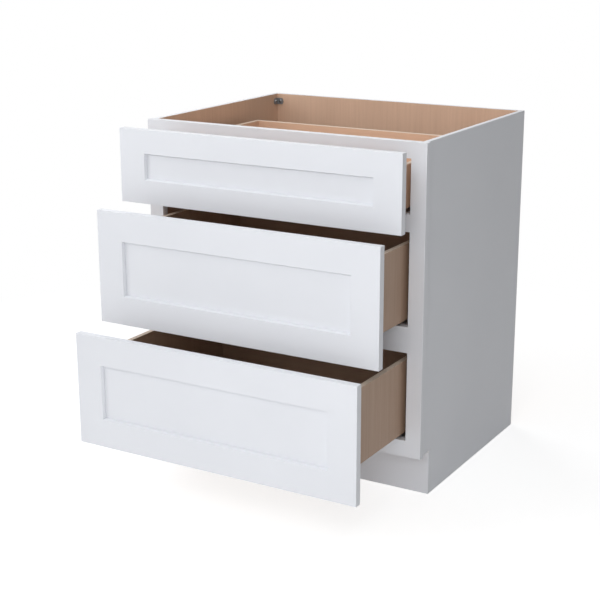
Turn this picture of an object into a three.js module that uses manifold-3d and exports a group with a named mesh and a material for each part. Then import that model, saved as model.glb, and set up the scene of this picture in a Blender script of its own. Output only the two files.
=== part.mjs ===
// Base cabinet with three drawers, built on a face frame: a plywood box, a hardwood frame on its
// front, and three plywood drawers with recessed-panel fronts on full-extension undermount slides.
//
// Millimetres, +Z up, +Y towards the wall, +X to the right as seen from the front.
// The whole cabinet is laid out from the front face of its face frame (y = 0), and then moved so
// that the origin lies on the floor, in the middle of the toe board's foot.

import * as THREE from 'three';
import { mergeVertices } from 'three/addons/utils/BufferGeometryUtils.js';
import Module from 'manifold-3d';

const wasm = await Module();
wasm.setup();

// ---------------------------------------------------------------- driving dimensions

// cabinet box
const boxWidth = 762; // over the side panels
const overallDepth = 609.6; // front of the face frame to the wall
const toeHeight = 114.3;
const toeRecess = 63.5; // front of the face frame to the toe board
const panelThickness = 12.7; // sides, back, floor and toe board
const grooveDepth = 6.35; // housings of the box panels
const floorDrop = 3.2; // cabinet floor below the top of the bottom rail
const seam = 0.3; // glue line between pieces that touch

// face frame
const frameThickness = 19.05;
const frameOverhang = 6.35; // each stile beyond the side panel
const stileWidth = 39.7;
const topRailHeight = 38.1;
const upperRailHeight = 41.3;
const upperRailBelowGap = 15.9; // lower edge below the gap between the fronts
const lowerRailHeight = 63.5;
const lowerRailBelowGap = 22.5;
const bottomRailHeight = 41.3;

// drawer fronts
const frontThickness = 19.05;
const frontSideReveal = 2.85; // frame left showing beside a closed front
const frontTopReveal = 6.4;
const frontBottomReveal = 3.4;
const frontGap = 3.8; // between one front and the next
const topFrontHeight = 182.6;
const deepFrontHeight = 281; // middle and bottom
const frontStandoff = 1.5; // closed front to face frame
const frontStileWidth = 71.5;
const topFrontRailWidth = 58.7;
const deepFrontRailWidth = 71.5;
const frontPanelThickness = 6.35;
const frontPanelBackset = 4.2; // back of the panel to the back of the front
const frontGrooveDepth = 9.5;
const bevelWidth = 3.2; // sloping inner edge of the front's frame
const bevelHeight = 7;
const panelPlay = 1.5; // room for the panel to move in its grooves

// drawer boxes
const drawerWall = 12.7;
const drawerBottomThickness = 6.35;
const drawerSideClearance = 12.7; // box side to the frame opening
const drawerBottomClearance = 12.7; // box to the rail below it
const drawerBottomRecess = 12.7; // underside of the bottom above the lower edge of the sides
const drawerGrooveDepth = 6.35;
const drawerRearClearance = 64.7; // closed box to the cabinet back
const topHeadroom = 15; // box to the rail above it
const middleHeadroom = 31;
const bottomHeadroom = 23.7;

// how far each drawer is drawn out
const topDrawnOut = 98.5;
const middleDrawnOut = 198.5;
const bottomDrawnOut = 298.5;

// undermount slides
const slideWidth = 30;
const slideSteel = 1.5;
const slideLip = 5;
const channelHeight = 9.5;
const slideFloat = 0.8; // outer channel above the rail, and beside the drawer side
const runningGap = 0.6; // between members that slide in each other
const middleWeb = 6;
const middleShorter = 33.4; // middle member shorter than the drawer
const middleSetBack = 25; // its front end behind the frame front when closed
const runnerSetBack = 14; // inner channel behind the closed box's front end
const tabHeight = 23;
const tabLength = 40; // the foot that carries the tab
const screwHole = 5;
const hookHeight = 20; // hook above the drawer bottom
const hookPin = 6;
const hookPinLength = 7;

// corner bracket for the worktop
const bracketLeg = 20;
const bracketBow = 4; // how far the rounded end of a leg bows out
const bracketHeight = 17.5;
const bracketSteel = 2;
const bracketBelowTop = 12;
const bracketHole = 4;

// ---------------------------------------------------------------- worked out from them

const cabinetHeight = toeHeight + frontBottomReveal + 2 * deepFrontHeight + 2 * frontGap
  + topFrontHeight + frontTopReveal;
const boxHalf = boxWidth / 2;
const boxInner = boxHalf - panelThickness;
const frameHalf = boxHalf + frameOverhang;
const openingHalf = frameHalf - stileWidth;
const frontHalf = frameHalf - frontSideReveal;
const panelFrontY = frameThickness - grooveDepth + seam; // front edge of the box panels
const backInnerY = overallDepth - panelThickness;

const bottomFrontZ = toeHeight + frontBottomReveal;
const middleFrontZ = bottomFrontZ + deepFrontHeight + frontGap;
const topFrontZ = middleFrontZ + deepFrontHeight + frontGap;

const bottomRailTop = toeHeight + bottomRailHeight;
const lowerRailZ = middleFrontZ - frontGap - lowerRailBelowGap;
const lowerRailTop = lowerRailZ + lowerRailHeight;
const upperRailZ = topFrontZ - frontGap - upperRailBelowGap;
const upperRailTop = upperRailZ + upperRailHeight;
const topRailZ = cabinetHeight - topRailHeight;
const floorTop = bottomRailTop - floorDrop;

const drawerHalf = openingHalf - drawerSideClearance;
const drawerInner = drawerHalf - drawerWall;
const drawerFrontY = seam - frontStandoff; // closed box, front end
const drawerBackY = backInnerY - drawerRearClearance; // closed box, back end
const drawerLength = drawerBackY - drawerFrontY;

const drawers = [
  {
    name: 'top',
    frontZ: topFrontZ,
    frontHeight: topFrontHeight,
    railWidth: topFrontRailWidth,
    openingZ: upperRailTop,
    openingTop: topRailZ,
    headroom: topHeadroom,
    drawnOut: topDrawnOut,
  },
  {
    name: 'middle',
    frontZ: middleFrontZ,
    frontHeight: deepFrontHeight,
    railWidth: deepFrontRailWidth,
    openingZ: lowerRailTop,
    openingTop: upperRailZ,
    headroom: middleHeadroom,
    drawnOut: middleDrawnOut,
  },
  {
    name: 'bottom',
    frontZ: bottomFrontZ,
    frontHeight: deepFrontHeight,
    railWidth: deepFrontRailWidth,
    openingZ: bottomRailTop,
    openingTop: lowerRailZ,
    headroom: bottomHeadroom,
    drawnOut: bottomDrawnOut,
  },
];

const sides = [
  { name: 'left', sign: -1 },
  { name: 'right', sign: 1 },
];

// ---------------------------------------------------------------- finishes

function finish(color, roughness, metalness) {
  return () => new THREE.MeshStandardMaterial({ color, roughness, metalness });
}

const paint = finish('#e6e7ec', 0.45, 0);
const veneer = finish('#c79c7c', 0.6, 0);
const zinc = finish('#a9abad', 0.35, 0.9);
const darkSteel = finish('#646464', 0.5, 0.8);

// ---------------------------------------------------------------- shape helpers

// a block between two values on each axis, given in either order
function block(x0, x1, y0, y1, z0, z1) {
  const geometry = new THREE.BoxGeometry(Math.abs(x1 - x0), Math.abs(y1 - y0), Math.abs(z1 - z0));
  return geometry.translate((x0 + x1) / 2, (y0 + y1) / 2, (z0 + z1) / 2);
}

function extrude(points, length) {
  const shape = new THREE.Shape(points.map(([u, v]) => new THREE.Vector2(u, v)));
  return new THREE.ExtrudeGeometry(shape, { depth: length, bevelEnabled: false });
}

// a section given as (y, z) points, run from x0 to x1
function alongX(points, x0, x1) {
  const axes = new THREE.Matrix4().makeBasis(
    new THREE.Vector3(0, 1, 0),
    new THREE.Vector3(0, 0, 1),
    new THREE.Vector3(1, 0, 0),
  );
  return extrude(points, x1 - x0).applyMatrix4(axes).translate(x0, 0, 0);
}

// a section given as (x, z) points, run from y0 to y1
function alongY(points, y0, y1) {
  const axes = new THREE.Matrix4().makeBasis(
    new THREE.Vector3(1, 0, 0),
    new THREE.Vector3(0, 0, 1),
    new THREE.Vector3(0, -1, 0),
  );
  return extrude(points, y1 - y0).applyMatrix4(axes).translate(0, y1, 0);
}

// a section given as (x, y) points, run from z0 to z1
function alongZ(points, z0, z1) {
  return extrude(points, z1 - z0).translate(0, 0, z0);
}

const roundSides = 12; // sides of a bar or a bore

// round bars between two values on one axis
function barAlongY(x, z, diameter, y0, y1) {
  const bar = new THREE.CylinderGeometry(diameter / 2, diameter / 2, y1 - y0, roundSides);
  return bar.translate(x, (y0 + y1) / 2, z);
}

function barAlongX(y, z, diameter, x0, x1) {
  const bar = new THREE.CylinderGeometry(diameter / 2, diameter / 2, x1 - x0, roundSides);
  return bar.rotateZ(Math.PI / 2).translate((x0 + x1) / 2, y, z);
}

function toSolid(geometry) {
  const bare = geometry.clone();
  bare.deleteAttribute('normal');
  bare.deleteAttribute('uv');
  const merged = mergeVertices(bare);
  return new wasm.Manifold(new wasm.Mesh({
    numProp: 3,
    vertProperties: new Float32Array(merged.attributes.position.array),
    triVerts: new Uint32Array(merged.index.array),
  }));
}

function toGeometry(solid) {
  const { vertProperties, triVerts } = solid.getMesh();
  const geometry = new THREE.BufferGeometry();
  geometry.setAttribute('position', new THREE.BufferAttribute(vertProperties, 3));
  geometry.setIndex(new THREE.BufferAttribute(triVerts, 1));
  const flat = geometry.toNonIndexed();
  flat.computeVertexNormals();
  return flat;
}

function cut(geometry, ...tools) {
  return toGeometry(tools.reduce((solid, tool) => solid.subtract(toSolid(tool)), toSolid(geometry)));
}

function join(geometry, ...others) {
  return toGeometry(others.reduce((solid, other) => solid.add(toSolid(other)), toSolid(geometry)));
}

function piece(name, geometry, material) {
  const mesh = new THREE.Mesh(geometry, material());
  mesh.name = name;
  return mesh;
}

const over = 2; // how far a cutting tool reaches past the face that it cuts

// ---------------------------------------------------------------- cabinet box

// side panel: toe notch in front, housing for the floor, rabbet for the back
function sidePanel({ name, sign }) {
  const notchY = toeRecess + panelThickness + seam;
  const outline = [
    [panelFrontY, cabinetHeight],
    [panelFrontY, toeHeight],
    [notchY, toeHeight],
    [notchY, 0],
    [overallDepth, 0],
    [overallDepth, cabinetHeight],
  ];
  const panel = sign > 0 ? alongX(outline, boxInner, boxHalf) : alongX(outline, -boxHalf, -boxInner);
  const depth = sign * (boxInner + grooveDepth);
  const floorHousing = block(sign * (boxInner - over), depth, 0, overallDepth + over,
    floorTop - panelThickness - seam, floorTop + seam);
  const backRabbet = block(sign * (boxInner - over), depth, backInnerY - seam, overallDepth + over,
    -over, cabinetHeight + over);
  return piece(`side_panel_${name}`, cut(panel, floorHousing, backRabbet), paint);
}

function backPanel() {
  const half = boxInner + grooveDepth - seam;
  return piece('back_panel', block(-half, half, backInnerY, overallDepth, 0, cabinetHeight), veneer);
}

// cabinet floor: its front corners are cut back behind the stiles, between them it enters the rail
function cabinetFloor() {
  const half = boxInner + grooveDepth - seam;
  const tongue = openingHalf - seam;
  const shoulder = frameThickness + seam;
  const back = backInnerY - seam;
  const outline = [
    [-tongue, panelFrontY],
    [tongue, panelFrontY],
    [tongue, shoulder],
    [half, shoulder],
    [half, back],
    [-half, back],
    [-half, shoulder],
    [-tongue, shoulder],
  ];
  return piece('cabinet_floor', alongZ(outline, floorTop - panelThickness, floorTop), veneer);
}

// toe board: covers the front edges of the sides, and rises between them to the cabinet floor
function toeBoard() {
  const shoulder = toeHeight - seam;
  const top = floorTop - panelThickness - seam;
  const inner = boxInner - seam;
  const outline = [
    [-boxHalf, 0],
    [boxHalf, 0],
    [boxHalf, shoulder],
    [inner, shoulder],
    [inner, top],
    [-inner, top],
    [-inner, shoulder],
    [-boxHalf, shoulder],
  ];
  return piece('toe_board', alongY(outline, toeRecess, toeRecess + panelThickness), paint);
}

// one leg of the bracket: u runs out from the corner to a rounded end, v up from the leg's middle
function bracketOutline() {
  const half = bracketHeight / 2;
  const radius = (half ** 2 + bracketBow ** 2) / (2 * bracketBow);
  const turn = Math.asin(half / radius);
  const end = Array.from({ length: roundSides + 1 }, (_, i) => {
    const angle = turn * (2 * i / roundSides - 1);
    return [bracketLeg - radius + radius * Math.cos(angle), radius * Math.sin(angle)];
  });
  return [[0, -half], ...end, [0, half]];
}

// angle in the back left corner of the box, below the worktop
function cornerBracket() {
  const x = -boxInner + seam;
  const y = backInnerY - seam;
  const middle = cabinetHeight - bracketBelowTop - bracketHeight / 2;
  const reach = (bracketLeg + bracketSteel) / 2;
  const outline = bracketOutline();
  const sideLeg = alongX(outline.map(([u, v]) => [y - u, middle + v]), x, x + bracketSteel);
  const backLeg = alongY(outline.map(([u, v]) => [x + u, middle + v]), y - bracketSteel, y);
  const angle = cut(
    join(sideLeg, backLeg),
    barAlongX(y - reach, middle, bracketHole, x - over, x + bracketSteel + over),
    barAlongY(x + reach, middle, bracketHole, y - bracketSteel - over, y + over),
  );
  return piece('corner_bracket', angle, darkSteel);
}

// ---------------------------------------------------------------- face frame

// stile: a groove in its back takes the front edge of the side panel
function frameStile({ name, sign }) {
  const groove = frameThickness - grooveDepth;
  const section = [
    [openingHalf, 0],
    [frameHalf, 0],
    [frameHalf, frameThickness],
    [boxHalf + seam, frameThickness],
    [boxHalf + seam, groove],
    [boxInner - seam, groove],
    [boxInner - seam, frameThickness],
    [openingHalf, frameThickness],
  ].map(([x, y]) => [sign * x, y]);
  return piece(`frame_stile_${name}`, alongZ(section, toeHeight, cabinetHeight), paint);
}

function frameRail(name, z0, z1) {
  const half = openingHalf - seam;
  return piece(`frame_rail_${name}`, block(-half, half, 0, frameThickness, z0, z1), paint);
}

// bottom rail: a groove in its back takes the front edge of the cabinet floor
function bottomRail() {
  const half = openingHalf - seam;
  const groove = frameThickness - grooveDepth;
  const section = [
    [0, toeHeight],
    [frameThickness, toeHeight],
    [frameThickness, floorTop - panelThickness - seam],
    [groove, floorTop - panelThickness - seam],
    [groove, floorTop + seam],
    [frameThickness, floorTop + seam],
    [frameThickness, bottomRailTop],
    [0, bottomRailTop],
  ];
  return piece('frame_rail_bottom', alongX(section, -half, half), paint);
}

// ---------------------------------------------------------------- drawer fronts

// Section of a front's stile or rail: u runs from its outer edge inwards, v from its back forwards.
// The groove holds the panel, and the inner edge slopes from the face down to a small step.
// A section that is grown is the space which the piece and its glue line fill.
function frontSection(width, grown) {
  const edge = width + bevelWidth + grown;
  const bed = edge - frontGrooveDepth;
  const grooveBack = frontPanelBackset - seam + grown;
  const grooveFront = frontPanelBackset + frontPanelThickness + seam - grown;
  return [
    [0, 0],
    [edge, 0],
    [edge, grooveBack],
    [bed, grooveBack],
    [bed, grooveFront],
    [edge, grooveFront],
    [edge, frontThickness - bevelHeight],
    [width + grown, frontThickness],
    [0, frontThickness],
  ];
}

function frontStileGeometry(drawer, sign, grown, reach) {
  const section = frontSection(frontStileWidth, grown)
    .map(([u, v]) => [sign * (frontHalf - u), -frontStandoff - v]);
  return alongZ(section, drawer.frontZ - reach, drawer.frontZ + drawer.frontHeight + reach);
}

// rail: its ends are coped over the stiles' inner edges, with a tenon into their grooves
function frontRail(drawer, name, outerZ, direction) {
  const section = frontSection(drawer.railWidth, 0)
    .map(([u, v]) => [-frontStandoff - v, outerZ + direction * u]);
  const tenonEnd = frontHalf - (frontStileWidth + bevelWidth - frontGrooveDepth) - seam;
  const rail = alongX(section, -tenonEnd, tenonEnd);
  const stiles = sides.map(({ sign }) => frontStileGeometry(drawer, sign, seam, over));
  return piece(`${drawer.name}_front_rail_${name}`, cut(rail, ...stiles), paint);
}

function frontPanel(drawer) {
  const bed = frontGrooveDepth - bevelWidth - panelPlay; // past the face edge of stile or rail
  const half = frontHalf - frontStileWidth + bed;
  const inset = drawer.railWidth - bed;
  const back = -frontStandoff - frontPanelBackset;
  return piece(`${drawer.name}_front_panel`, block(-half, half, back - frontPanelThickness, back,
    drawer.frontZ + inset, drawer.frontZ + drawer.frontHeight - inset), paint);
}

function drawerFront(drawer) {
  const stiles = sides.map(({ name, sign }) => piece(`${drawer.name}_front_stile_${name}`,
    frontStileGeometry(drawer, sign, 0, 0), paint));
  return [
    ...stiles,
    frontRail(drawer, 'upper', drawer.frontZ + drawer.frontHeight, -1),
    frontRail(drawer, 'lower', drawer.frontZ, 1),
    frontPanel(drawer),
  ];
}

// ---------------------------------------------------------------- drawer boxes

function boxHeights(drawer) {
  const z0 = drawer.openingZ + drawerBottomClearance;
  return {
    z0,
    z1: drawer.openingTop - drawer.headroom,
    bottomZ: z0 + drawerBottomRecess,
    bottomTop: z0 + drawerBottomRecess + drawerBottomThickness,
  };
}

// side: a groove for the bottom, and a rabbet at each end for the front and the back
function drawerSide(drawer, { name, sign }) {
  const { z0, z1, bottomZ, bottomTop } = boxHeights(drawer);
  const groove = drawerInner + drawerGrooveDepth;
  const section = [
    [drawerHalf, z0],
    [drawerHalf, z1],
    [drawerInner, z1],
    [drawerInner, bottomTop + seam],
    [groove, bottomTop + seam],
    [groove, bottomZ - seam],
    [drawerInner, bottomZ - seam],
    [drawerInner, z0],
  ].map(([x, z]) => [sign * x, z]);
  const rabbets = [
    [drawerFrontY - over, drawerFrontY + drawerWall + seam],
    [drawerBackY - drawerWall - seam, drawerBackY + over],
  ].map(([y0, y1]) => block(sign * (drawerInner - over), sign * groove, y0, y1, z0 - over, z1 + over));
  const side = cut(alongY(section, drawerFrontY, drawerBackY), ...rabbets);
  return piece(`${drawer.name}_box_side_${name}`, side, veneer);
}

function drawerBoxFront(drawer) {
  const { z0, z1, bottomZ, bottomTop } = boxHeights(drawer);
  const half = drawerInner + drawerGrooveDepth - seam;
  const back = drawerFrontY + drawerWall;
  const groove = back - drawerGrooveDepth;
  const section = [
    [drawerFrontY, z0],
    [back, z0],
    [back, bottomZ - seam],
    [groove, bottomZ - seam],
    [groove, bottomTop + seam],
    [back, bottomTop + seam],
    [back, z1],
    [drawerFrontY, z1],
  ];
  return piece(`${drawer.name}_box_front`, alongX(section, -half, half), veneer);
}

// back: stands on the drawer bottom, and is bored for the slides' rear hooks
function drawerBoxBack(drawer) {
  const { z1, bottomTop } = boxHeights(drawer);
  const half = drawerInner + drawerGrooveDepth - seam;
  const board = block(-half, half, drawerBackY - drawerWall, drawerBackY, bottomTop + seam, z1);
  const bores = sides.map(({ sign }) => barAlongY(sign * slideMiddle, bottomTop + hookHeight,
    hookPin + 2 * seam, drawerBackY - hookPinLength - seam, drawerBackY + over));
  return piece(`${drawer.name}_box_back`, cut(board, ...bores), veneer);
}

function drawerBottom(drawer) {
  const { bottomZ, bottomTop } = boxHeights(drawer);
  const half = drawerInner + drawerGrooveDepth - 2 * seam;
  const front = drawerFrontY + drawerWall - drawerGrooveDepth + seam;
  return piece(`${drawer.name}_box_bottom`, block(-half, half, front, drawerBackY,
    bottomZ, bottomTop), veneer);
}

function drawerBox(drawer) {
  return [
    ...sides.map((side) => drawerSide(drawer, side)),
    drawerBoxFront(drawer),
    drawerBoxBack(drawer),
    drawerBottom(drawer),
  ];
}

// ---------------------------------------------------------------- undermount slides

const slideMiddle = drawerInner - slideFloat - slideWidth / 2;

// a lipped channel round x = middle, its web at z = web, opening towards +z or -z
function lippedChannel(middle, web, opening) {
  const half = slideWidth / 2;
  const inner = half - slideSteel;
  const lip = half - slideLip;
  const z = (height) => web + opening * height;
  return [
    [-half, z(0)],
    [half, z(0)],
    [half, z(channelHeight)],
    [lip, z(channelHeight)],
    [lip, z(channelHeight - slideSteel)],
    [inner, z(channelHeight - slideSteel)],
    [inner, z(slideSteel)],
    [-inner, z(slideSteel)],
    [-inner, z(channelHeight - slideSteel)],
    [-lip, z(channelHeight - slideSteel)],
    [-lip, z(channelHeight)],
    [-half, z(channelHeight)],
  ].map(([x, height]) => [middle + x, height]);
}

// an I section whose flanges run inside the outer and the inner channel
function middleSection(middle, lowWeb, highWeb) {
  const flange = slideWidth / 2 - slideSteel - runningGap;
  const web = middleWeb / 2;
  const low = lowWeb + slideSteel + runningGap;
  const high = highWeb - slideSteel - runningGap;
  const thickness = channelHeight - 2 * slideSteel - 2 * runningGap;
  return [
    [-flange, low],
    [flange, low],
    [flange, low + thickness],
    [web, low + thickness],
    [web, high - thickness],
    [flange, high - thickness],
    [flange, high],
    [-flange, high],
    [-flange, high - thickness],
    [-web, high - thickness],
    [-web, low + thickness],
    [-flange, low + thickness],
  ].map(([x, z]) => [middle + x, z]);
}

function slideLevels(drawer) {
  return {
    low: drawer.openingZ + slideFloat, // underside of the outer channel
    high: boxHeights(drawer).bottomZ - seam, // top of the inner channel
  };
}

// outer channel: a foot and a tab fix it behind the stile, and a plate to the cabinet back
function slideOuter(drawer, { name, sign }) {
  const { low } = slideLevels(drawer);
  const x = sign * slideMiddle;
  const front = frameThickness + seam;
  const rear = backInnerY - seam;
  const tabInner = openingHalf + seam;
  const tabOuter = boxInner - seam;
  const channel = alongY(lippedChannel(x, low, 1), front, rear);
  const foot = block(x, sign * tabOuter, front, front + tabLength, low, low + slideSteel);
  const tab = block(sign * tabInner, sign * tabOuter, front, front + slideSteel, low, low + tabHeight);
  const plate = block(x - slideWidth / 2, x + slideWidth / 2, rear - slideSteel, rear,
    low, low + tabHeight);
  const hole = low + (tabHeight + channelHeight) / 2;
  const whole = join(channel, foot, tab, plate);
  const drilled = cut(whole,
    barAlongY(sign * (tabInner + tabOuter) / 2, hole, screwHole, front - over, front + over),
    barAlongY(x, hole, screwHole, rear - slideSteel - over, rear + over));
  return piece(`${drawer.name}_slide_${name}_outer`, drilled, zinc);
}

function slideMiddleMember(drawer, { name, sign }) {
  const { low, high } = slideLevels(drawer);
  const section = middleSection(sign * slideMiddle, low, high);
  const bar = alongY(section, middleSetBack, middleSetBack + drawerLength - middleShorter);
  return piece(`${drawer.name}_slide_${name}_middle`, bar, zinc);
}

// inner channel: carries the drawer, with a hook and pin into the back of the box
function slideInner(drawer, { name, sign }) {
  const { high } = slideLevels(drawer);
  const x = sign * slideMiddle;
  const hookY = drawerBackY + seam;
  const pinZ = boxHeights(drawer).bottomTop + hookHeight;
  const half = slideWidth / 4;
  const channel = alongY(lippedChannel(x, high, -1), runnerSetBack, hookY + slideSteel);
  const hook = block(x - half, x + half, hookY, hookY + slideSteel,
    high - slideSteel, pinZ + hookPin);
  const pin = barAlongY(x, pinZ, hookPin, drawerBackY - hookPinLength, hookY + slideSteel / 2);
  return piece(`${drawer.name}_slide_${name}_inner`, join(channel, hook, pin), zinc);
}

// ---------------------------------------------------------------- assembly

function drawnOut(pieces, distance) {
  const group = new THREE.Group();
  group.add(...pieces);
  group.position.y = -distance;
  return group;
}

const cabinet = new THREE.Group();
cabinet.add(
  ...sides.map(sidePanel),
  backPanel(),
  cabinetFloor(),
  toeBoard(),
  cornerBracket(),
  ...sides.map(frameStile),
  frameRail('top', topRailZ, cabinetHeight),
  frameRail('upper', upperRailZ, upperRailTop),
  frameRail('lower', lowerRailZ, lowerRailTop),
  bottomRail(),
);

for (const drawer of drawers) {
  const carried = [
    ...drawerFront(drawer),
    ...drawerBox(drawer),
    ...sides.map((side) => slideInner(drawer, side)),
  ];
  const middles = sides.map((side) => slideMiddleMember(drawer, side));
  cabinet.add(
    drawnOut(carried, drawer.drawnOut),
    drawnOut(middles, drawer.drawnOut / 2), // the middle members go half as far
    ...sides.map((side) => slideOuter(drawer, side)),
  );
}

cabinet.position.y = -(toeRecess + panelThickness / 2);

export default cabinet;
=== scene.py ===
"""Finish, light and camera for a three-drawer face-frame base cabinet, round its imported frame.

Metres, +Z up, +Y towards the wall. The origin is on the floor, in the middle of the toe board's foot.
"""

import math

import bmesh
import bpy
from mathutils import Matrix, Vector


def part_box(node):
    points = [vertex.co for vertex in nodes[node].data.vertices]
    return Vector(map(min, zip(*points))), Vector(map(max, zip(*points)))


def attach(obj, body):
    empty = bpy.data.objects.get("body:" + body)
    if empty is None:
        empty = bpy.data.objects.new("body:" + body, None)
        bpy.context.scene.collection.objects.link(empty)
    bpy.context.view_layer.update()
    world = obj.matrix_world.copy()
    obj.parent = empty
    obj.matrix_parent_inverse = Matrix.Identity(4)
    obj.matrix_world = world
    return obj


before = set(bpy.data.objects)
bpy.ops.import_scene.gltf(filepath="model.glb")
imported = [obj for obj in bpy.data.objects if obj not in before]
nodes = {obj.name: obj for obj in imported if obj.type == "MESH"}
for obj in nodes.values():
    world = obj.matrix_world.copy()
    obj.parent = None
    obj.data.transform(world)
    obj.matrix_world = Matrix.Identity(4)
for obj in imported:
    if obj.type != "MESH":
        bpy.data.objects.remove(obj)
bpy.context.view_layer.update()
MM = 0.001

# ------------------------------------------------------------------ colours, linear

PAINT = (0.782, 0.799, 0.842)
PAINT_SHADE = (0.762, 0.780, 0.824)
PALE_VENEER = ((0.592, 0.396, 0.282), (0.708, 0.492, 0.358))  # dark and light of the grain
# Darker copy of the pale veneer for the middle and bottom drawer boxes: painted shade for the shadow that
# the drawers above cast into them.
PAINTED_SHADE_VENEER = ((0.415, 0.282, 0.202), (0.495, 0.346, 0.252))
BOX_VENEER = {"top": PALE_VENEER, "middle": PAINTED_SHADE_VENEER, "bottom": PAINTED_SHADE_VENEER}
EDGE_VENEER = ((0.760, 0.620, 0.500), (0.840, 0.710, 0.590))
PORE = (0.330, 0.200, 0.130)
PLY_LIGHT = (0.640, 0.450, 0.300)
PLY_DARK = (0.370, 0.225, 0.135)
ZINC = (0.600, 0.610, 0.625)
DARK_STEEL = (0.230, 0.232, 0.238)
SCREW_STEEL = (0.270, 0.270, 0.280)
CLIP_PLASTIC = (0.180, 0.185, 0.190)
BUMPER = (0.700, 0.700, 0.690)

# ------------------------------------------------------------------ sizes that the frame doesn't hold

SEAM = 0.3 * MM  # glue line between two wooden pieces
ARRIS = 0.5 * MM  # rounding of wooden edges
METAL_ARRIS = 0.15 * MM
ARRIS_STEPS = 2
ARRIS_ANGLE = math.radians(30)  # edges sharper than this are rounded
WELD_DISTANCE = 0.001 * MM
FRONT_STILE = 71.5 * MM
FRONT_BEVEL = 3.2 * MM
FRONT_BEVEL_DEPTH = 7 * MM
FILM_DEPTH = 1.5 * MM  # how far the paint reaches into a glue line
FILM_SET_BACK = 0.04 * MM
PLIES = 9


# ------------------------------------------------------------------ materials

NOISE_BAND = (0.3, 0.7)  # where nearly all of a noise's values lie
NOISE_DETAIL = 3.0
FACING = 0.7  # cosine that tells one side of a board from the next


class Graph:
    """A material with short calls for the nodes that are used below."""

    def __init__(self, name):
        self.material = bpy.data.materials.new(name)
        self.material.use_nodes = True
        self.nodes = self.material.node_tree.nodes
        self.links = self.material.node_tree.links
        self.shader = self.nodes["Principled BSDF"]

    def node(self, kind, inputs, **settings):
        made = self.nodes.new("ShaderNode" + kind)
        for key, value in settings.items():
            setattr(made, key, value)
        for key, value in inputs.items():
            self.put(value, made.inputs[key])
        return made

    def put(self, value, socket):
        if isinstance(value, bpy.types.NodeSocket):
            self.links.new(value, socket)
        else:
            socket.default_value = value

    def set(self, **inputs):
        for key, value in inputs.items():
            self.put(value, self.shader.inputs[key.replace("_", " ")])

    def object_place(self):
        return self.node("TexCoord", {}).outputs["Object"]

    def stretched(self, place, scale, offset):
        made = self.node("Mapping", {"Vector": place, "Scale": scale, "Location": offset})
        return made.outputs["Vector"]

    def noise(self, place, scale, detail=2.0, roughness=0.5):
        made = self.node("TexNoise", {"Vector": place, "Scale": scale, "Detail": detail,
                                      "Roughness": roughness})
        return made.outputs["Fac"]

    def math(self, operation, *values):
        return self.node("Math", dict(enumerate(values)), operation=operation).outputs[0]

    def spread(self, value, low, high, to_low=0.0, to_high=1.0):
        made = self.node("MapRange", {"Value": value, "From Min": low, "From Max": high,
                                      "To Min": to_low, "To Max": to_high}, clamp=True)
        return made.outputs["Result"]

    def mix(self, factor, first, second):
        made = self.node("Mix", {}, data_type="RGBA")
        for key, value in {0: factor, 6: first, 7: second}.items():
            if isinstance(value, tuple):
                value = (*value, 1.0)
            self.put(value, made.inputs[key])
        return made.outputs[2]

    def contrast(self, value, to_low=0.0, to_high=1.0):
        """A noise spread over a whole range."""
        return self.spread(value, *NOISE_BAND, to_low, to_high)

    def scaled(self, value, factor):
        return self.math("MULTIPLY", value, factor)

    def facing(self, axis, sign):
        """1 where the surface faces along sign times that axis, 0 elsewhere."""
        normal = self.node("NewGeometry", {}).outputs["True Normal"]
        part = self.node("SeparateXYZ", {"Vector": normal}).outputs[axis]
        return self.math("GREATER_THAN", self.scaled(part, float(sign)), FACING)

    def bump(self, height, distance, strength=1.0):
        made = self.node("Bump", {"Height": height, "Distance": distance, "Strength": strength})
        self.put(made.outputs["Normal"], self.shader.inputs["Normal"])


# Noises below have scales in cycles per metre, and heights are in millimetres.

PAINT_CLOUDS = 5.0
PAINT_PEEL = 900.0
PAINT_PEEL_HEIGHT = 0.03
PAINT_SHEEN = 140.0
PAINT_ROUGHNESS = (0.36, 0.46)


def paint_layer(graph, place):
    """Sprayed satin paint: colour, roughness and the height of its orange peel."""
    colour = graph.mix(graph.contrast(graph.noise(place, PAINT_CLOUDS, NOISE_DETAIL)), PAINT_SHADE, PAINT)
    roughness = graph.contrast(graph.noise(place, PAINT_SHEEN, NOISE_DETAIL), *PAINT_ROUGHNESS)
    return colour, roughness, graph.scaled(graph.noise(place, PAINT_PEEL), PAINT_PEEL_HEIGHT)


GRAIN_STRETCH = 0.03  # share of the scale that is left along the grain
PORE_STRETCH = 0.10
WOOD_LEAVES = 14.0
WOOD_STREAKS = 150.0
WOOD_LINES = 520.0
WOOD_PORES = 2600.0
LEAF_DETAIL = 1.0
STREAK_DETAIL = 4.0
GRAIN_HARSHNESS = 0.6
WOOD_SHARES = (0.35, 0.45, 0.20)  # of leaves, streaks and lines in the tone
PORE_BAND = (0.60, 0.78)  # the part of the noise that makes pores
PORE_STRENGTH = 0.2
PORE_DEPTH = 0.03
LINE_HEIGHT = 0.03
WOOD_ROUGHNESS = (0.62, 0.48)
SEED_SHIFT = (1.7, 2.3, 3.1)  # metres in the noise from one seed to the next


def along(graph, place, grain, stretch, seed=0):
    """The place, with little change along one axis and a start of its own for each seed."""
    scale = [1.0, 1.0, 1.0]
    scale["XYZ".index(grain)] = stretch
    return graph.stretched(place, tuple(scale), tuple(seed * shift for shift in SEED_SHIFT))


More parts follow.
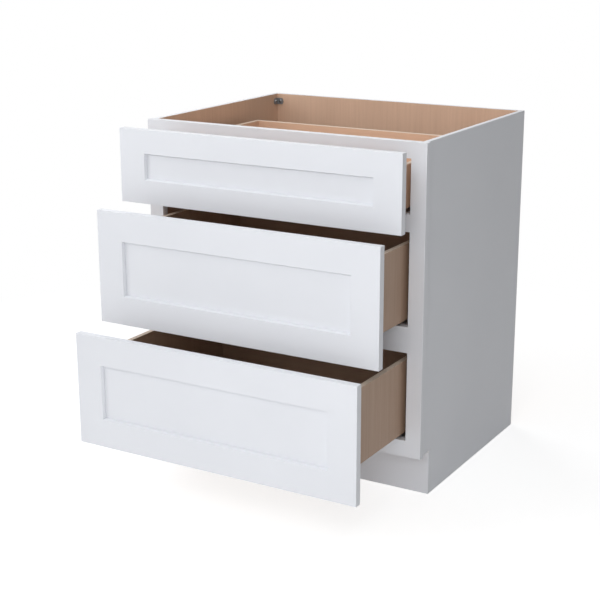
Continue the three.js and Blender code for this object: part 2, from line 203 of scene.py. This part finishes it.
def wood_layer(graph, place, grain, seed, veneer=PALE_VENEER):
    """Veneer with its grain along one axis: colour, roughness and height."""
    run = along(graph, place, grain, GRAIN_STRETCH, seed)
    leaves = graph.noise(run, WOOD_LEAVES, LEAF_DETAIL)
    streaks = graph.noise(run, WOOD_STREAKS, STREAK_DETAIL, GRAIN_HARSHNESS)
    lines = graph.noise(run, WOOD_LINES, NOISE_DETAIL, GRAIN_HARSHNESS)
    tone = 0.0
    for noise, share in zip((leaves, streaks, lines), WOOD_SHARES):
        tone = graph.math("ADD", tone, graph.scaled(graph.contrast(noise), share))
    pores = graph.noise(along(graph, place, grain, PORE_STRETCH, seed), WOOD_PORES)
    pores = graph.spread(pores, *PORE_BAND)
    colour = graph.mix(graph.scaled(pores, PORE_STRENGTH), graph.mix(tone, *veneer), PORE)
    height = graph.math("SUBTRACT", graph.scaled(lines, LINE_HEIGHT),
                        graph.scaled(pores, PORE_DEPTH))
    return colour, graph.contrast(streaks, *WOOD_ROUGHNESS), height


PLY_RIPPLES = 60.0
PLY_RIPPLE_SHARE = 0.4  # of a ply that its face wanders
PLY_FIBRES = 1300.0
PLY_FIBRE_SHARE = 0.5
PLY_BORDER = 0.25  # softness of the line between two plies
PLY_ROUGHNESS = (0.7, 0.8)
PLY_HEIGHT = 0.05


def ply_layer(graph, place, thickness_axis, start, thickness):
    """The edge of a plywood board: layers across its thickness."""
    depth = graph.node("SeparateXYZ", {"Vector": place}).outputs[thickness_axis]
    ripple = graph.scaled(graph.noise(place, PLY_RIPPLES), PLY_RIPPLE_SHARE)
    layer = graph.scaled(graph.math("SUBTRACT", depth, start), PLIES / thickness)
    wave = graph.math("SINE", graph.scaled(graph.math("ADD", layer, ripple), math.pi))
    fibres = graph.contrast(graph.noise(place, PLY_FIBRES, NOISE_DETAIL))
    dark = graph.mix(graph.scaled(fibres, PLY_FIBRE_SHARE), PLY_DARK, PLY_LIGHT)
    colour = graph.mix(graph.spread(wave, -PLY_BORDER, PLY_BORDER), dark, PLY_LIGHT)
    return colour, graph.spread(fibres, 0.0, 1.0, *PLY_ROUGHNESS), graph.scaled(wave, PLY_HEIGHT)


def layered(graph, base, *overlays):
    """The graph's material, whose later layers cover the first where their mask is 1."""
    colour, roughness, height = base
    for mask, (over_colour, over_roughness, over_height) in overlays:
        colour = graph.mix(mask, colour, over_colour)
        roughness = graph.spread(mask, 0.0, 1.0, roughness, over_roughness)
        height = graph.spread(mask, 0.0, 1.0, height, over_height)
    graph.set(Base_Color=colour, Roughness=roughness)
    graph.bump(height, MM)
    return graph.material


# Each board has a seed, which gives it a grain of its own.
BACK_PANEL_SEED = 1
CABINET_FLOOR_SEED = 2
FRAME_SEED = 3
SIDE_PANEL_SEED = 5
TOE_BOARD_SEED = 8
DRAWER_SEEDS = {"top": 12, "middle": 19, "bottom": 26}
BOX_END_SEED = 3  # added to the drawer's, as the next two
BOX_BOTTOM_SEED = 5
EDGE_SEED = 50


def paint_material():
    """Paint on all sides."""
    graph = Graph("painted_wood")
    return layered(graph, paint_layer(graph, graph.object_place()))


def frame_material():
    """Face frame: painted where it shows, bare behind between the outsides of the side panels."""
    graph = Graph("painted_frame")
    place = graph.object_place()
    from_middle = graph.math("ABSOLUTE", graph.node("SeparateXYZ", {"Vector": place}).outputs["X"])
    covered = graph.math("LESS_THAN", from_middle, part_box("side_panel_right")[1].x)
    bare = graph.math("MULTIPLY", graph.facing("Y", 1), covered)
    return layered(graph, paint_layer(graph, place),
                   (bare, wood_layer(graph, place, "Z", FRAME_SEED)))



def veneer_board(node, grain, thickness_axis, seed, veneer, ply_faces,
                 painted_faces=(), banded=None):
    """A board veneered on its faces, with plies or paint on the faces that are named.

    A board that is banded has a pale edge strip on top, with its grain along that axis.
    """
    graph = Graph(node + "_wood")
    place = graph.object_place()
    low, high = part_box(node)
    axis = "XYZ".index(thickness_axis)
    layers = []
    for face_axis, sign in ply_faces:
        plies = ply_layer(graph, place, thickness_axis, low[axis], high[axis] - low[axis])
        layers.append((graph.facing(face_axis, sign), plies))
    for face_axis, sign in painted_faces:
        layers.append((graph.facing(face_axis, sign), paint_layer(graph, place)))
    if banded:
        strip = wood_layer(graph, place, banded, seed + EDGE_SEED, EDGE_VENEER)
        layers.append((graph.facing("Z", 1), strip))
    return layered(graph, wood_layer(graph, place, grain, seed, veneer), *layers)


METAL_STRETCH = 0.02
METAL_LINES = 1600.0
METAL_BLOTCHES = 90.0
METAL_BLOTCH_BAND = (0.35, 0.65)
METAL_SHADE = 0.82
METAL_GLOSS = (-0.06, 0.08)  # round the roughness that is given
METAL_BUMP = 0.05


def metal_material(name, colour, roughness):
    """Rolled steel sheet, its fine lines along Y."""
    graph = Graph(name)
    place = graph.object_place()
    lines = graph.noise(along(graph, place, "Y", METAL_STRETCH), METAL_LINES, NOISE_DETAIL)
    blotch = graph.noise(place, METAL_BLOTCHES, NOISE_DETAIL)
    shade = tuple(METAL_SHADE * c for c in colour)
    graph.set(Base_Color=graph.mix(graph.spread(blotch, *METAL_BLOTCH_BAND), shade, colour),
              Metallic=1.0,
              Roughness=graph.contrast(lines, *[roughness + change for change in METAL_GLOSS]))
    graph.bump(lines, MM, METAL_BUMP)
    return graph.material


PLASTIC_GRAIN = 1800.0
PLASTIC_SHADE = 0.9
PLASTIC_GLOSS = (-0.04, 0.06)
PLASTIC_BUMP = 0.03


def plastic_material(name, colour, roughness):
    """Moulded plastic or stoved paint, with a fine grain."""
    graph = Graph(name)
    grain = graph.noise(graph.object_place(), PLASTIC_GRAIN)
    shade = tuple(PLASTIC_SHADE * c for c in colour)
    graph.set(Base_Color=graph.mix(graph.contrast(grain), shade, colour),
              Roughness=graph.contrast(grain, *[roughness + change for change in PLASTIC_GLOSS]))
    graph.bump(grain, MM, PLASTIC_BUMP)
    return graph.material


# ------------------------------------------------------------------ finishes of the frame's nodes

SIDES = {"left": -1, "right": 1}
EDGES_ALL_ROUND = [("Y", 1), ("Y", -1), ("X", 1), ("X", -1)]

painted = paint_material()
painted_frame = frame_material()
zinc = metal_material("zinc_plate", ZINC, roughness=0.36)
dark_steel = plastic_material("dark_steel", DARK_STEEL, roughness=0.42)
screw_steel = metal_material("screw_steel", SCREW_STEEL, roughness=0.30)
clip_plastic = plastic_material("clip_plastic", CLIP_PLASTIC, roughness=0.45)
bumper_plastic = plastic_material("bumper_plastic", BUMPER, roughness=0.35)


def dress(node, material):
    """Gives a node of the frame its material."""
    slots = nodes[node].material_slots
    if slots:
        slots[0].material = material
    else:
        nodes[node].data.materials.append(material)


def soften(node, width):
    """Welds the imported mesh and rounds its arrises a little."""
    weld = nodes[node].modifiers.new("weld", "WELD")
    weld.merge_threshold = WELD_DISTANCE
    bevel = nodes[node].modifiers.new("arris", "BEVEL")
    bevel.width = width
    bevel.segments = ARRIS_STEPS
    bevel.limit_method = "ANGLE"
    bevel.angle_limit = ARRIS_ANGLE
    bevel.use_clamp_overlap = True


def dress_cabinet():
    for side, sign in SIDES.items():
        dress(f"side_panel_{side}", side_panel_material(f"side_panel_{side}", -sign))
        dress(f"frame_stile_{side}", painted_frame)
    for rail in ("top", "upper", "lower", "bottom"):
        dress(f"frame_rail_{rail}", painted_frame)
    sides_and_foot = [("X", 1), ("X", -1), ("Z", -1)]
    dress("back_panel", veneer_board("back_panel", "Z", "Y", BACK_PANEL_SEED, PALE_VENEER,
                                     sides_and_foot, painted_faces=[("Z", 1)]))
    dress("cabinet_floor", veneer_board("cabinet_floor", "X", "Z", CABINET_FLOOR_SEED, PALE_VENEER,
                                        EDGES_ALL_ROUND))
    dress("toe_board", toe_material())
    dress("corner_bracket", dark_steel)


def side_panel_material(node, inward):
    """Side panel: painted outside and on its top edge, veneered inside, plies behind and below."""
    graph = Graph(node + "_wood")
    place = graph.object_place()
    low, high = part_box(node)
    plies = ply_layer(graph, place, "X", low.x, high.x - low.x)
    return layered(graph, paint_layer(graph, place),
                   (graph.facing("X", inward), wood_layer(graph, place, "Z", SIDE_PANEL_SEED + inward)),
                   (graph.facing("Y", 1), plies),
                   (graph.facing("Z", -1), plies))


def toe_material():
    """Toe board: painted in front and at its ends, bare behind."""
    graph = Graph("toe_board_wood")
    place = graph.object_place()
    low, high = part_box("toe_board")
    return layered(graph, paint_layer(graph, place),
                   (graph.facing("Y", 1), wood_layer(graph, place, "X", TOE_BOARD_SEED)),
                   (graph.facing("Z", -1), ply_layer(graph, place, "Y", low.y, high.y - low.y)))


def dress_drawer(drawer, seed):
    # The middle and bottom boxes take the darker veneer, which is painted shade.
    veneer = BOX_VENEER[drawer]
    for part in ("stile_left", "stile_right", "rail_upper", "rail_lower", "panel"):
        dress(f"{drawer}_front_{part}", painted)
    for side, sign in SIDES.items():
        ends = [("Y", 1), ("Y", -1), ("Z", -1)]
        board = f"{drawer}_box_side_{side}"
        dress(board, veneer_board(board, "Z", "X", seed + sign, veneer, ends, banded="Y"))
        for member in ("inner", "middle", "outer"):
            dress(f"{drawer}_slide_{side}_{member}", zinc)
    for part in ("front", "back"):
        ends = [("X", 1), ("X", -1), ("Z", -1)]
        board = f"{drawer}_box_{part}"
        dress(board, veneer_board(board, "X", "Y", seed + BOX_END_SEED, veneer, ends, banded="X"))
    board = f"{drawer}_box_bottom"
    dress(board, veneer_board(board, "X", "Z", seed + BOX_BOTTOM_SEED, veneer, EDGES_ALL_ROUND))


dress_cabinet()
for drawer, seed in DRAWER_SEEDS.items():
    dress_drawer(drawer, seed)
for node in nodes:
    thin = "slide" in node or "bracket" in node
    soften(node, METAL_ARRIS if thin else ARRIS)


# ------------------------------------------------------------------ mesh helpers

def new_piece(name, mesh, material, body):
    """A piece that the frame has no node for, on one of its bodies."""
    piece = bpy.data.objects.new(name, mesh)
    bpy.context.scene.collection.objects.link(piece)
    mesh.materials.append(material)
    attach(piece, body)
    return piece


def mesh_from(name, bm):
    bmesh.ops.recalc_face_normals(bm, faces=bm.faces)
    mesh = bpy.data.meshes.new(name)
    bm.to_mesh(mesh)
    bm.free()
    return mesh


def add_block(bm, low, high):
    low, high = Vector(low), Vector(high)
    place = Matrix.Translation((low + high) / 2) @ Matrix.Diagonal((*(high - low), 1.0))
    bmesh.ops.create_cube(bm, size=1.0, matrix=place)


def add_prism(bm, outline, axis, start, end):
    """A closed outline of points in the two other axes, run along one axis."""
    def point(pair, along):
        place = list(pair)
        place.insert("XYZ".index(axis), along)
        return place
    near = [bm.verts.new(point(pair, start)) for pair in outline]
    far = [bm.verts.new(point(pair, end)) for pair in outline]
    bm.faces.new(near)
    bm.faces.new(far[::-1])
    for i in range(len(outline)):
        j = (i + 1) % len(outline)
        bm.faces.new((near[i], far[i], far[j], near[j]))


TURN_STEPS = 24


def add_turned(bm, profile, place):
    """A profile in millimetres, from axis to axis, turned about place's Z."""
    rings = []
    for radius, height in [(r * MM, h * MM) for r, h in profile]:
        if radius == 0:
            rings.append([bm.verts.new(place @ Vector((0, 0, height)))])
            continue
        ring = []
        for i in range(TURN_STEPS):
            angle = 2 * math.pi * i / TURN_STEPS
            point = Vector((radius * math.cos(angle), radius * math.sin(angle), height))
            ring.append(bm.verts.new(place @ point))
        rings.append(ring)
    for lower, upper in zip(rings, rings[1:]):
        for i in range(TURN_STEPS):
            j = (i + 1) % TURN_STEPS
            corners = [lower[i % len(lower)], lower[j % len(lower)],
                       upper[j % len(upper)], upper[i % len(upper)]]
            bm.faces.new(list(dict.fromkeys(corners)))


def aimed(point, direction):
    """A place at point whose Z runs along direction."""
    turn = Vector(direction).to_track_quat("Z", "Y").to_matrix().to_4x4()
    return Matrix.Translation(Vector(point)) @ turn


# ------------------------------------------------------------------ paint over the glue lines

def front_film(drawer):
    """Paint that bridges the joints between a front's stiles and rails."""
    bm = bmesh.new()
    slope = FRONT_BEVEL * FILM_DEPTH / FRONT_BEVEL_DEPTH
    for side, sign in SIDES.items():
        low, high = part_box(f"{drawer}_front_stile_{side}")
        outer = high.x if sign > 0 else low.x
        joint = outer - sign * FRONT_STILE
        face = low.y + FILM_SET_BACK
        outline = [(joint + sign * ARRIS, face), (joint - sign * (SEAM + ARRIS), face),
                   (joint - sign * (SEAM + slope), face + FILM_DEPTH),
                   (joint - sign * slope, face + FILM_DEPTH)]
        for rail in ("rail_upper", "rail_lower"):
            rail_low, rail_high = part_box(f"{drawer}_front_{rail}")
            inner = FRONT_BEVEL if rail == "rail_lower" else -FRONT_BEVEL
            start = rail_low.z - min(inner, 0)
            end = rail_high.z - max(inner, 0)
            add_prism(bm, outline, "Z", start + FILM_SET_BACK, end - FILM_SET_BACK)
    new_piece(f"{drawer}_front_film", mesh_from("film", bm), painted, f"{drawer}_drawer")


def cabinet_film():
    """Paint that bridges the joints of the face frame, and of the toe board with the sides."""
    bm = bmesh.new()
    for rail in ("top", "upper", "lower", "bottom"):
        low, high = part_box(f"frame_rail_{rail}")
        for edge in (low.x - SEAM, high.x):
            face = low.y + FILM_SET_BACK
            outline = [(edge - ARRIS, face), (edge + SEAM + ARRIS, face), (edge + SEAM, face + ARRIS),
                       (edge + SEAM, face + FILM_DEPTH), (edge, face + FILM_DEPTH), (edge, face + ARRIS)]
            add_prism(bm, outline, "Z", low.z + FILM_SET_BACK, high.z - FILM_SET_BACK)
    low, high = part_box("toe_board")
    for outer, inward in ((low.x, 1), (high.x, -1)):
        add_block(bm, (outer + inward * FILM_SET_BACK, high.y, 0),
                  (outer + inward * FILM_DEPTH, high.y + SEAM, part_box("frame_rail_bottom")[0].z))
    new_piece("cabinet_film", mesh_from("film", bm), painted, "cabinet")


# ------------------------------------------------------------------ small fasteners

# Radius and height of each point of a profile, in millimetres.
SCREW_HEAD = [(0, 0), (4.1, 0), (4.3, 0.5), (3.9, 1.4), (2.9, 2.2), (1.5, 2.6), (0, 2.7)]
BUMPER_DOME = [(0, 0), (4.0, 0), (4.1, 0.4), (3.6, 0.9), (2.2, 1.25), (0, 1.35)]
RECESS_LONG = 4.2 * MM
RECESS_WIDE = 1.0 * MM
RECESS_DEEP = 1.3 * MM
SHARP = math.radians(35)  # a head is shaded smooth except at edges beyond this


def screw_mesh():
    """A pan head with a cross recess, standing on z = 0."""
    bm = bmesh.new()
    add_turned(bm, SCREW_HEAD, Matrix.Identity(4))
    head = bpy.data.objects.new("screw_head", mesh_from("screw_head", bm))
    head.data.shade_smooth()
    top = SCREW_HEAD[-1][1] * MM
    cutter_bm = bmesh.new()
    outline = []
    for i in range(4):
        turn = Matrix.Rotation(math.pi / 2 * i, 2)
        for corner in ((RECESS_LONG / 2, -RECESS_WIDE / 2), (RECESS_LONG / 2, RECESS_WIDE / 2),
                       (RECESS_WIDE / 2, RECESS_WIDE / 2)):
            outline.append(tuple(turn @ Vector(corner)))
    add_prism(cutter_bm, outline, "Z", top - RECESS_DEEP, top + MM)
    cutter = bpy.data.objects.new("recess", mesh_from("recess", cutter_bm))
    for made in (head, cutter):
        bpy.context.scene.collection.objects.link(made)
    cut = head.modifiers.new("cut", "BOOLEAN")
    cut.object = cutter
    cut.operation = "DIFFERENCE"
    bpy.context.view_layer.update()
    whole = bpy.context.evaluated_depsgraph_get()
    mesh = bpy.data.meshes.new_from_object(head.evaluated_get(whole))
    for made in (head, cutter):
        bpy.data.objects.remove(made)
    mesh.set_sharp_from_angle(angle=SHARP)
    return mesh


screw = screw_mesh()


def screws(name, places, body):
    """One piece of several screws, a head at each place."""
    bm = bmesh.new()
    for place in places:
        one = screw.copy()
        one.transform(place)
        bm.from_mesh(one)
        bpy.data.meshes.remove(one)
    new_piece(name, mesh_from(name, bm), screw_steel, body)


BRACKET_LEG = 20 * MM
BRACKET_STEEL = 2 * MM
BRACKET_BOW = 4 * MM  # how far the rounded end of a leg bows out
BRACKET_STEPS = 12


def bracket_leg(bm, corner, along, away, low, high):
    """One plate of an angle: it runs along one direction from the corner and is thick in another."""
    half = (high - low) / 2
    middle = (high + low) / 2
    radius = (half ** 2 + BRACKET_BOW ** 2) / (2 * BRACKET_BOW)
    turn = math.asin(half / radius)
    outline = [(0, low)]
    for i in range(BRACKET_STEPS + 1):
        angle = turn * (2 * i / BRACKET_STEPS - 1)
        outline.append((BRACKET_LEG - radius + radius * math.cos(angle),
                        middle + radius * math.sin(angle)))
    outline.append((0, high))
    corner, along, away = Vector((*corner, 0)), Vector((*along, 0)), Vector((*away, 0))
    faces = []
    for depth in (0, BRACKET_STEEL):
        start = corner + away * depth
        faces.append([bm.verts.new(start + along * u + Vector((0, 0, v))) for u, v in outline])
    bm.faces.new(faces[0])
    bm.faces.new(faces[1][::-1])
    for i in range(len(outline)):
        j = (i + 1) % len(outline)
        bm.faces.new((faces[0][i], faces[1][i], faces[1][j], faces[0][j]))


def corner_brackets():
    """The brackets in the three corners where the frame has none, and the screws of all four."""
    low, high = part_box("corner_bracket")
    inner_x = -low.x
    back_y = high.y
    front_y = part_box("frame_rail_top")[1].y + SEAM
    reach = (BRACKET_LEG + BRACKET_STEEL) / 2
    middle = (low.z + high.z) / 2
    places = []
    for name, sign, y, into in (("back_left", -1, back_y, -1), ("back_right", 1, back_y, -1),
                                ("front_left", -1, front_y, 1), ("front_right", 1, front_y, 1)):
        x = sign * inner_x
        if name != "back_left":
            bm = bmesh.new()
            bracket_leg(bm, (x, y), (0, into), (-sign, 0), low.z, high.z)
            bracket_leg(bm, (x - sign * BRACKET_STEEL, y), (-sign, 0), (0, into), low.z, high.z)
            new_piece(f"corner_bracket_{name}", mesh_from(name, bm), dark_steel, "cabinet")
        places.append(aimed((x - sign * BRACKET_STEEL, y + into * reach, middle), (-sign, 0, 0)))
        places.append(aimed((x - sign * reach, y + into * BRACKET_STEEL, middle), (0, into, 0)))
    screws("bracket_screws", places, "cabinet")


FRONT_SCREW_SIDE = 220 * MM  # from the middle of the drawer
FRONT_SCREW_ABOVE_BOTTOM = 22 * MM
FRONT_SCREW_BELOW_TOP = 20 * MM


def front_screws(drawer):
    """Screws that hold the front, driven from inside the box."""
    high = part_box(f"{drawer}_box_front")[1]
    floor_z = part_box(f"{drawer}_box_bottom")[1].z
    places = []
    for x in (-FRONT_SCREW_SIDE, FRONT_SCREW_SIDE):
        for z in (floor_z + FRONT_SCREW_ABOVE_BOTTOM, high.z - FRONT_SCREW_BELOW_TOP):
            places.append(aimed((x, high.y, z), (0, 1, 0)))
    screws(f"{drawer}_front_screws", places, f"{drawer}_drawer")


SLIDE_STEEL = 1.5 * MM
SLIDE_HOLE_HEIGHT = 16.25 * MM  # of the screw holes above the outer channel's underside


def slide_screws(drawer):
    """Screws that fix the outer channels behind the stiles and to the cabinet back."""
    places = []
    for side, sign in SIDES.items():
        low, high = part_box(f"{drawer}_slide_{side}_outer")
        bar_low, bar_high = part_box(f"{drawer}_slide_{side}_middle")
        stile_low, stile_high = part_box(f"frame_stile_{side}")
        tab_inner = stile_low.x if sign > 0 else stile_high.x
        tab_outer = high.x if sign > 0 else low.x
        height = low.z + SLIDE_HOLE_HEIGHT
        places.append(aimed(((tab_inner + tab_outer) / 2, low.y + SLIDE_STEEL, height), (0, 1, 0)))
        places.append(aimed(((bar_low.x + bar_high.x) / 2, high.y - SLIDE_STEEL, height), (0, -1, 0)))
    screws(f"{drawer}_slide_screws", places, "cabinet")


CLIP_SIDE_GAP = 1 * MM  # to the inner channel
CLIP_FRONT_GAP = 1.5 * MM  # to the box front
CLIP_TOP_GAP = 0.2 * MM  # to the drawer bottom
CLIP_WIDTH = 37 * MM
CLIP_LENGTH = 56.5 * MM
CLIP_PLATE = 3 * MM
CLIP_SLANT = 10 * MM
CLIP_CORNER = 8 * MM
CLIP_ROUND = 0.5 * MM
RIB_COUNT = 6
RIB_FIRST = 7 * MM  # from the clip's edge at the channel
RIB_PITCH = 4 * MM
RIB_THICK = 1 * MM
RIB_FRONT = 8 * MM
RIB_BACK = 26 * MM
RIB_DROP = 8 * MM
LEVER_WIDTH = 30 * MM
LEVER_FRONT = 30 * MM
LEVER_BACK = 36 * MM
LEVER_DROP = 9 * MM
CLIP_SINK = 0.1 * MM  # of ribs and lever into the plate


def locking_clips(drawer):
    """A clip under each front corner of the box, which locks it to the slide."""
    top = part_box(f"{drawer}_box_bottom")[0].z - CLIP_TOP_GAP
    y0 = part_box(f"{drawer}_box_front")[1].y + CLIP_FRONT_GAP
    y1 = y0 + CLIP_LENGTH
    under = top - CLIP_PLATE + CLIP_SINK
    for side, sign in SIDES.items():
        low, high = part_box(f"{drawer}_slide_{side}_inner")
        near = (low.x if sign > 0 else high.x) - sign * CLIP_SIDE_GAP
        far = near - sign * CLIP_WIDTH
        bm = bmesh.new()
        outline = [(near, y0), (far, y0 + CLIP_SLANT), (far, y1 - CLIP_CORNER),
                   (far + sign * CLIP_CORNER, y1), (near, y1)]
        add_prism(bm, outline, "Z", top - CLIP_PLATE, top)
        for i in range(RIB_COUNT):
            x = near - sign * (RIB_FIRST + RIB_PITCH * i)
            edges = sorted((x, x + sign * RIB_THICK))
            add_block(bm, (edges[0], y0 + RIB_FRONT, top - RIB_DROP),
                      (edges[1], y0 + RIB_BACK, under))
        edges = sorted((near, near - sign * LEVER_WIDTH))
        add_block(bm, (edges[0], y0 + LEVER_FRONT, top - LEVER_DROP),
                  (edges[1], y0 + LEVER_BACK, under))
        clip = new_piece(f"{drawer}_locking_clip_{side}", mesh_from("clip", bm), clip_plastic,
                         f"{drawer}_drawer")
        round_edges(clip, CLIP_ROUND)


def round_edges(piece, width):
    """Rounds the sharp edges of a piece that is made here."""
    bevel = piece.modifiers.new("round", "BEVEL")
    bevel.width = width
    bevel.segments = ARRIS_STEPS
    bevel.limit_method = "ANGLE"


BUMPER_FROM_END = 18 * MM
BUMPER_FROM_SIDE = 16 * MM


def bumpers(drawer):
    """Soft domes on the back of a front, which meet the face frame."""
    bm = bmesh.new()
    for side, sign in SIDES.items():
        low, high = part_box(f"{drawer}_front_stile_{side}")
        outer = high.x if sign > 0 else low.x
        for z in (low.z + BUMPER_FROM_END, high.z - BUMPER_FROM_END):
            place = aimed((outer - sign * BUMPER_FROM_SIDE, high.y, z), (0, 1, 0))
            add_turned(bm, BUMPER_DOME, place)
    piece = new_piece(f"{drawer}_bumpers", mesh_from("bumpers", bm), bumper_plastic, f"{drawer}_drawer")
    piece.data.shade_smooth()


corner_brackets()
cabinet_film()
for drawer in DRAWER_SEEDS:
    front_film(drawer)
    front_screws(drawer)
    slide_screws(drawer)
    locking_clips(drawer)
    bumpers(drawer)

# ------------------------------------------------------------------ floor and backdrop

FLOOR_HALF = 30.0
FLOOR_ALBEDO = 0.86
FLOOR_GLOW = 0.10
NEAR_DIFFUSE = 0.50  # as seen directly near the object, where the floor holds a soft shadow
NEAR_GLOW = 0.77
NEAR_RADIUS = 0.9  # from here on the floor turns plain white
FAR_RADIUS = 1.9


def seen_directly(tree):
    """1 for a camera, mirror or window ray, 0 for light that bounces."""
    path = tree.nodes.new("ShaderNodeLightPath")
    seen = path.outputs["Is Camera Ray"]
    for other in ("Is Glossy Ray", "Is Transmission Ray"):
        either = tree.nodes.new("ShaderNodeMath")
        either.operation = "MAXIMUM"
        tree.links.new(seen, either.inputs[0])
        tree.links.new(path.outputs[other], either.inputs[1])
        seen = either.outputs[0]
    return seen


def floor_material():
    """A floor that is seen as white and lights the object as a pale matt one."""
    graph = Graph("floor")
    output = graph.nodes["Material Output"]
    graph.nodes.remove(graph.shader)
    lit = graph.node("BsdfDiffuse", {"Color": (FLOOR_ALBEDO, FLOOR_ALBEDO, FLOOR_ALBEDO, 1.0)})
    glow = graph.node("Emission", {"Strength": FLOOR_GLOW})
    bounce = graph.node("AddShader", {0: lit.outputs[0], 1: glow.outputs[0]})
    near_colour = (NEAR_DIFFUSE, NEAR_DIFFUSE, NEAR_DIFFUSE, 1.0)
    near_diffuse = graph.node("BsdfDiffuse", {"Color": near_colour})
    near_glow = graph.node("Emission", {"Strength": NEAR_GLOW})
    near = graph.node("AddShader", {0: near_diffuse.outputs[0], 1: near_glow.outputs[0]})
    far = graph.node("Emission", {"Strength": 1.0})
    radius = graph.node("VectorMath", {0: graph.object_place()}, operation="LENGTH").outputs["Value"]
    shown = graph.node("MixShader", {0: graph.spread(radius, NEAR_RADIUS, FAR_RADIUS),
                                     1: near.outputs[0], 2: far.outputs[0]})
    whole = graph.node("MixShader", {0: seen_directly(graph.material.node_tree),
                                     1: bounce.outputs[0], 2: shown.outputs[0]})
    graph.put(whole.outputs[0], output.inputs["Surface"])
    return graph.material


def make_floor():
    bm = bmesh.new()
    corners = [(-FLOOR_HALF, -FLOOR_HALF), (FLOOR_HALF, -FLOOR_HALF), (FLOOR_HALF, FLOOR_HALF),
               (-FLOOR_HALF, FLOOR_HALF)]
    bm.faces.new([bm.verts.new((x, y, 0)) for x, y in corners])
    mesh = mesh_from("floor", bm)
    floor = bpy.data.objects.new("floor", mesh)
    bpy.context.scene.collection.objects.link(floor)
    mesh.materials.append(floor_material())


make_floor()

# ------------------------------------------------------------------ light

WORLD_STRENGTH = 0.055
WORLD_COLOUR = (0.97, 0.99, 1.0)
TARGET = Vector((0, 0, 0.45))
LAMPS = {  # name: azimuth, elevation, distance, size, watts
    "left": (-43, 33, 4.0, 2.2, 41),
    "low_left": (-60, 12, 4.0, 2.2, 26),
    "right": (28, 25, 4.0, 2.2, 39),
    "low_right": (25, 3, 1.8, 1.2, 5.0),
    "top": (0, 80, 1.8, 1.5, 15),
    "back_left": (-130, 25, 4.0, 2.2, 58),
}


def make_world():
    """A dim even light, seen directly as white."""
    world = bpy.data.worlds.new("studio")
    bpy.context.scene.world = world
    world.use_nodes = True
    tree = world.node_tree
    background = tree.nodes["Background"]
    background.inputs["Color"].default_value = (*WORLD_COLOUR, 1.0)
    background.inputs["Strength"].default_value = WORLD_STRENGTH
    white = tree.nodes.new("ShaderNodeBackground")
    white.inputs["Color"].default_value = (1.0, 1.0, 1.0, 1.0)
    mix = tree.nodes.new("ShaderNodeMixShader")
    tree.links.new(seen_directly(tree), mix.inputs[0])
    tree.links.new(background.outputs[0], mix.inputs[1])
    tree.links.new(white.outputs[0], mix.inputs[2])
    tree.links.new(mix.outputs[0], tree.nodes["World Output"].inputs["Surface"])


def direction(azimuth, elevation):
    """Towards a place in degrees: azimuth 0 is in front of the cabinet, 90 on its +X side."""
    a, e = math.radians(azimuth), math.radians(elevation)
    return Vector((math.sin(a) * math.cos(e), -math.cos(a) * math.cos(e), math.sin(e)))


def make_lamps():
    """Square lamps aimed at the middle of the cabinet, left out of the picture themselves."""
    for name, (azimuth, elevation, distance, size, watts) in LAMPS.items():
        light = bpy.data.lights.new(name, "AREA")
        light.size = size
        light.energy = watts
        lamp = bpy.data.objects.new(name, light)
        lamp.visible_camera = False
        lamp.visible_glossy = not name.startswith("back")  # top edges show no glare from behind
        bpy.context.scene.collection.objects.link(lamp)
        away = direction(azimuth, elevation)
        lamp.location = TARGET + away * distance
        lamp.rotation_euler = away.to_track_quat("Z", "Y").to_euler()


make_world()
make_lamps()

# ------------------------------------------------------------------ camera

IMAGE_SIDE = 600
FOCAL_PIXELS = 1328.85
SENSOR_WIDTH = 36.0
CAMERA_PLACE = Vector((1.63398, -2.75723, 1.35369))
CAMERA_AZIMUTH = 0.53091  # radians, as the next two
CAMERA_ELEVATION = 0.277748
CAMERA_ROLL = -0.002228


def make_camera():
    camera = bpy.data.cameras.new("camera")
    camera.sensor_width = SENSOR_WIDTH
    camera.lens = FOCAL_PIXELS / IMAGE_SIDE * SENSOR_WIDTH
    eye = bpy.data.objects.new("camera", camera)
    bpy.context.scene.collection.objects.link(eye)
    back = direction(math.degrees(CAMERA_AZIMUTH), math.degrees(CAMERA_ELEVATION))
    right = Vector((math.cos(CAMERA_AZIMUTH), math.sin(CAMERA_AZIMUTH), 0))
    up = back.cross(right)
    turned_right = right * math.cos(CAMERA_ROLL) + up * math.sin(CAMERA_ROLL)
    turned_up = up * math.cos(CAMERA_ROLL) - right * math.sin(CAMERA_ROLL)
    turn = Matrix((turned_right, turned_up, back)).transposed()
    eye.matrix_world = Matrix.Translation(CAMERA_PLACE) @ turn.to_4x4()
    bpy.context.scene.camera = eye


make_camera()
bpy.context.scene.view_settings.view_transform = "Standard"
